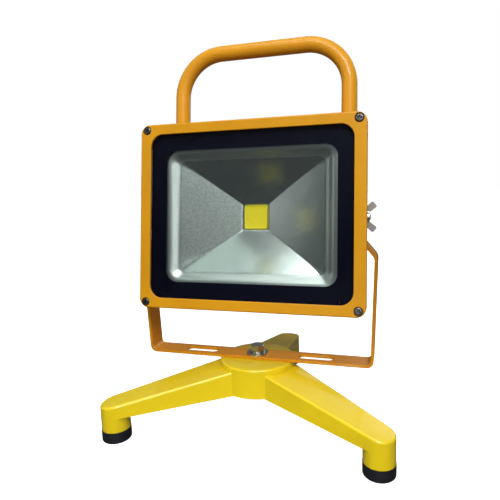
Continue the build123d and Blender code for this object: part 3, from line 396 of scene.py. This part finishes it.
FINISHES = {
    "base_paint": cast_enamel("base_enamel", (0.83, 0.62, 0.008), (0.77, 0.56, 0.007)),
    "foot_rubber": moulded_rubber("cap_rubber", (0.003, 0.003, 0.007)),
    "yoke_paint": powder_coat("yoke_coat", (0.62, 0.246, 0.010), (0.56, 0.215, 0.008)),
    "housing_paint": powder_coat("housing_coat", (0.76, 0.345, 0.010), (0.70, 0.31, 0.008)),
    "clear_glass": toughened_glass("toughened_glass"),
    "border_print": screen_print("border_print"),
    "silicone": moulded_plastic("gasket_silicone", (0.50, 0.50, 0.48), 0.55),
    "reflector_sheet": peened_aluminium("reflector_sheet"),
    "board_aluminium": mill_aluminium("board_aluminium"),
    "phosphor": phosphor_gel("phosphor_gel"),
    "thermal_pad": moulded_plastic("pad_silicone", (0.35, 0.42, 0.50), 0.6),
    "lead_red": moulded_plastic("lead_red", (0.50, 0.015, 0.015), 0.35),
    "lead_black": moulded_plastic("lead_black", (0.012, 0.012, 0.012), 0.35),
    "driver_resin": moulded_plastic("driver_resin", (0.04, 0.04, 0.045), 0.5),
    "terminal_plastic": moulded_plastic("terminal_plastic", (0.75, 0.73, 0.66), 0.4),
    "gland_plastic": moulded_plastic("gland_plastic", (0.018, 0.018, 0.018), 0.35),
    "zinc": zinc_plate("zinc_plate", (0.74, 0.76, 0.80), (0.78, 0.75, 0.62)),
}
# a darker zinc than the other plated parts, used on the base bolt and its washers
DARK_BOLT_ZINC = zinc_plate("dark_bolt_zinc", (0.46, 0.48, 0.51), (0.48, 0.43, 0.28))
OWN_FINISHES = {
    "handle": powder_coat("handle_coat", (0.80, 0.355, 0.016), (0.75, 0.33, 0.014)),
    "base_bolt": DARK_BOLT_ZINC,
    "base_lock_washer": DARK_BOLT_ZINC,
    "base_flat_washer": DARK_BOLT_ZINC,
    "bezel_screws": zinc_plate("dull_zinc", (0.21, 0.21, 0.22), (0.17, 0.16, 0.14)),
}


def dress_cad_nodes():
    """Gives every CAD node its own finish where it has one, and otherwise that of its material slot."""
    for row in frame["record"]["subparts"]:
        mesh = NODES[row["node"]].data
        mesh.materials.clear()
        mesh.materials.append(OWN_FINISHES.get(row["node"], FINISHES[row["material_slot"]]))


# ---- reflector and emitter --------------------------------------------------------------------------

WINDOW = (87.0, 66.9, 12.5)  # half width, half height and corner of the opening in the border
CREASE = (73.8, 56.0, 5.5)  # where the rolled band meets the four deep faces
THROAT = (12.5, 12.5, 0.9)
RIM = (93.5, 76.5, 6.5)
RIM_DEPTH, CREASE_DEPTH, THROAT_DEPTH = 8.2, 13.4, 33.0
SHEET = 0.9
ROLL_SLOPE, ROLL_MIDDLE, ROLL_SPREAD = 0.12, 0.62, 0.30  # the band's slope along its width
FACE_SPACING = 1.3  # rows of the faces crowd towards the crease
CORNER_TIGHTENING = 6
BAND_ROWS, FACE_ROWS = 34, 30
RIM_STEP = 0.3  # the flat rim ends this far outside the window
ROUNDING = 0.01  # slack for deciding which rows lie inside the crease
PEEN_EDGE = 12  # how quickly the hammering stops at the ridges

EMITTER_HALF, EMITTER_CORNER = 12.05, 2.3
EMITTER_FRONT, EMITTER_BACK = 33.2, 34.4  # depths of the dam's top and of the emitter's back
DAM_WIDTH = 1.3
DAM_FOOT, DAM_RISE, GEL_LEVEL = 0.65, 0.5, 0.62  # heights: the dam's edge, its swell, the gel
GEL_ROWS = np.array([0.15, 4.0, 10.0])  # distances in from the dam
DAM_CORNER_LOSS, SMALLEST_CORNER, ROUNDEST = 0.5, 0.4, 0.9  # how the corner radius shrinks inward


def outlines(half_x, half_z, corner, side=40, arc=12):
    """Closed rounded rectangles as x and z, one row per entry of the three arrays, seen anticlockwise.

    Each corner is a quarter circle of arc points; each side is side points spread between two corners.
    """
    half_x, half_z, corner = (np.asarray(a, float)[:, None] for a in (half_x, half_z, corner))
    xs, zs = [], []
    signs = ((1, 1), (-1, 1), (-1, -1), (1, -1))
    for quarter, (sign_x, sign_z) in enumerate(signs):
        angle = np.linspace(0, math.pi / 2, arc)[None] + quarter * math.pi / 2
        x = sign_x * (half_x - corner) + corner * np.cos(angle)
        z = sign_z * (half_z - corner) + corner * np.sin(angle)
        next_x, next_z = signs[(quarter + 1) % 4]
        along = (np.arange(side)[None] + 1) / (side + 1)
        turned = (quarter + 1) * math.pi / 2
        far_x = next_x * (half_x - corner) + corner * math.cos(turned)
        far_z = next_z * (half_z - corner) + corner * math.sin(turned)
        xs += [x, x[:, -1:] + (far_x - x[:, -1:]) * along]
        zs += [z, z[:, -1:] + (far_z - z[:, -1:]) * along]
    return np.concatenate(xs, axis=1), np.concatenate(zs, axis=1)


def build_reflector_sheet():
    """The pressed sheet as rounded rectangles stacked in depth.

    A flat rim; a rolled band, whose slope is a low constant plus a bell curve that peaks part of the
    way in, so its depth is the running sum of that; then four straight faces down to the throat,
    whose corners tighten inward. The back is the same surface one sheet thickness deeper.
    """
    across = np.linspace(0, 1, BAND_ROWS)
    slope = ROLL_SLOPE + (1 - ROLL_SLOPE) * np.exp(-((across - ROLL_MIDDLE) / ROLL_SPREAD) ** 2)
    drop = np.concatenate([[0], np.cumsum((slope[1:] + slope[:-1]) / 2)])
    band = [WINDOW[i] + (CREASE[i] - WINDOW[i]) * across for i in range(3)]
    band_depth = RIM_DEPTH + (CREASE_DEPTH - RIM_DEPTH) * drop / drop[-1]
    inward = np.linspace(0, 1, FACE_ROWS)[1:] ** FACE_SPACING
    face = [CREASE[i] + (THROAT[i] - CREASE[i]) * inward for i in range(2)]
    face_corner = THROAT[2] + (CREASE[2] - THROAT[2]) * (1 - inward) ** CORNER_TIGHTENING
    face_depth = CREASE_DEPTH + (THROAT_DEPTH - CREASE_DEPTH) * inward
    half_x = np.concatenate([[RIM[0], WINDOW[0] + RIM_STEP], band[0], face[0], [THROAT[0]]])
    half_z = np.concatenate([[RIM[1], WINDOW[1] + RIM_STEP], band[1], face[1], [THROAT[1]]])
    corner = np.concatenate([[RIM[2], WINDOW[2]], band[2], face_corner, [THROAT[2]]])
    depth = np.concatenate([[RIM_DEPTH, RIM_DEPTH], band_depth, face_depth, [THROAT_DEPTH + 0.5 * SHEET]])
    x, z = outlines(half_x, half_z, corner)
    front = np.stack([x, np.broadcast_to(depth[:, None], x.shape), z], axis=-1)
    back = front[::-1] + np.array([0, SHEET, 0])
    sheet = np.concatenate([front, back])
    piece = grid_object("reflector_sheet", lamp_to_row(sheet), "lamp",
                        FINISHES["reflector_sheet"], closed_along=True)
    row_half_x = sheet[..., 0].max(axis=1, keepdims=True)
    row_half_z = sheet[..., 2].max(axis=1, keepdims=True)
    leftness = -sheet[..., 0] / row_half_x - np.abs(sheet[..., 2]) / row_half_z
    inside = row_half_x < CREASE[0] + ROUNDING
    peened = np.clip(leftness * PEEN_EDGE + 0.5, 0, 1) * inside
    rolled = np.broadcast_to(~inside, peened.shape)
    for layer_name, values in (("peened", peened), ("rolled", rolled)):
        layer = piece.data.attributes.new(layer_name, "FLOAT", "POINT")
        layer.data.foreach_set("value", values.ravel().astype(np.float32))
    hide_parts("reflector")


def build_emitter_dam():
    """The emitter: a flat gel field inside a raised, rounded silicone dam, as stacked rounded squares."""
    turn = np.linspace(0, math.pi, 13)
    inset = np.concatenate([[0.0], DAM_WIDTH / 2 * (1 - np.cos(turn)), DAM_WIDTH + GEL_ROWS])
    height = np.concatenate([[0.0], DAM_FOOT + DAM_RISE * np.sin(turn), np.full(3, GEL_LEVEL)])
    size = EMITTER_HALF - inset
    corner = np.maximum(EMITTER_CORNER - inset * DAM_CORNER_LOSS, SMALLEST_CORNER)
    x, z = outlines(size, size, np.minimum(corner, size * ROUNDEST))
    rise = height * (EMITTER_BACK - EMITTER_FRONT) / (DAM_FOOT + DAM_RISE)
    depth = np.broadcast_to((EMITTER_BACK - rise)[:, None], x.shape)
    points = np.stack([x, depth, z], axis=-1)
    piece = grid_object("emitter_gel", lamp_to_row(points), "lamp", FINISHES["phosphor"])
    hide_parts("led_emitter")


# ---- studio -----------------------------------------------------------------------------------------


def add_floor():
    """A wide pale floor that glows a little, and neither mirrors in surfaces nor bounces light."""
    half = 6.0
    corners = [(-half, -half, 0), (half, -half, 0), (half, half, 0), (-half, half, 0)]
    mesh = bpy.data.meshes.new("studio_floor")
    mesh.from_pydata(corners, [], [(0, 1, 2, 3)])
    floor = bpy.data.objects.new("studio_floor", mesh)
    bpy.context.scene.collection.objects.link(floor)
    paint = Paint("studio_floor")
    tone = paint.noise(0.6, 3, 0.5)
    mesh.materials.append(paint.finish(
        Base_Color=paint.blend(tone, (0.86, 0.86, 0.86), (0.84, 0.84, 0.84)),
        Roughness=0.9,
        Specular_IOR_Level=0.0,
        Emission_Color=(1, 1, 1),
        Emission_Strength=0.92,
    ))
    floor.visible_glossy = False
    floor.visible_diffuse = False


LAMP_MIDDLE = (0, -0.03, 0.2)
BASE_MIDDLE = (0, -0.08, 0.0)
REFLECTOR_LOWER_FACE = (0.055, -0.056, 0.153)


def hang_light(name, data, place, target):
    """An object for a light at a place in metres, turned to face a target."""
    light = bpy.data.objects.new(name, data)
    bpy.context.scene.collection.objects.link(light)
    light.location = place
    light.rotation_euler = (Vector(target) - Vector(place)).to_track_quat("-Z", "Y").to_euler()
    return light


def softbox(name, place, target, size, power):
    """A rectangular soft light of a size in metres and a power in watts."""
    data = bpy.data.lights.new(name, "AREA")
    data.shape = "RECTANGLE"
    data.size, data.size_y = size
    data.energy = power
    hang_light(name, data, place, target).visible_camera = False


def add_base_light():
    """A low spot whose cone is wide and flat, so that it lights the base and not the lamp."""
    data = bpy.data.lights.new("base_light", "SPOT")
    data.energy = 29
    data.spot_size = math.radians(9.5)
    data.spot_blend = 0.5
    data.shadow_soft_size = 0.1
    hang_light("base_light", data, (0.1, -1.2, 0.28), BASE_MIDDLE).scale = (2.2, 1, 1)


def add_studio():
    """Soft lights mostly from the front; each one's place decides what the reflector mirrors."""
    softbox("key_light", (0.45, -1.25, 1.35), LAMP_MIDDLE, (0.5, 0.35), 15.5)
    softbox("overhead_light", (-0.10, -0.45, 1.65), LAMP_MIDDLE, (0.8, 0.3), 5)
    softbox("left_fill", (-1.45, -1.0, 0.75), LAMP_MIDDLE, (0.6, 0.9), 1.6)
    softbox("right_card", (1.05, -1.42, 0.45), LAMP_MIDDLE, (0.35, 0.9), 3.2)
    softbox("front_card", (0.45, -1.75, 0.5), LAMP_MIDDLE, (0.7, 0.7), 0.6)
    softbox("window_strip", (-0.07, -0.86, 1.10), REFLECTOR_LOWER_FACE, (0.26, 0.18), 2.2)
    softbox("back_fill", (0.6, 1.5, 0.9), LAMP_MIDDLE, (1.2, 0.8), 5)
    add_base_light()


def add_backdrop():
    """White to the camera; to everything else dim below the horizon and brighter overhead."""
    world = bpy.data.worlds.new("studio")
    world.use_nodes = True
    tree = world.node_tree
    backdrop = tree.nodes["Background"]
    shown = tree.nodes.new("ShaderNodeBackground")
    shown.inputs["Color"].default_value = (1, 1, 1, 1)
    direction = tree.nodes.new("ShaderNodeTexCoord")
    parts = tree.nodes.new("ShaderNodeSeparateXYZ")
    ramp = tree.nodes.new("ShaderNodeValToRGB")
    height = tree.nodes.new("ShaderNodeMapRange")
    height.inputs["From Min"].default_value = -1
    tree.links.new(direction.outputs["Generated"], parts.inputs[0])
    tree.links.new(parts.outputs["Z"], height.inputs["Value"])
    tree.links.new(height.outputs[0], ramp.inputs[0])
    low, high = ramp.color_ramp.elements
    low.position, low.color = 0.57, (0.07, 0.07, 0.075, 1)
    high.position, high.color = 0.85, (0.30, 0.31, 0.31, 1)
    tree.links.new(ramp.outputs[0], backdrop.inputs["Color"])
    rays = tree.nodes.new("ShaderNodeLightPath")
    choose = tree.nodes.new("ShaderNodeMixShader")
    tree.links.new(rays.outputs["Is Camera Ray"], choose.inputs[0])
    tree.links.new(backdrop.outputs[0], choose.inputs[1])
    tree.links.new(shown.outputs[0], choose.inputs[2])
    tree.links.new(choose.outputs[0], tree.nodes["World Output"].inputs["Surface"])
    bpy.context.scene.world = world
    bpy.context.scene.view_settings.view_transform = "Standard"


add_camera()
dress_cad_nodes()
build_reflector_sheet()
build_emitter_dam()
add_floor()
add_studio()
add_backdrop()
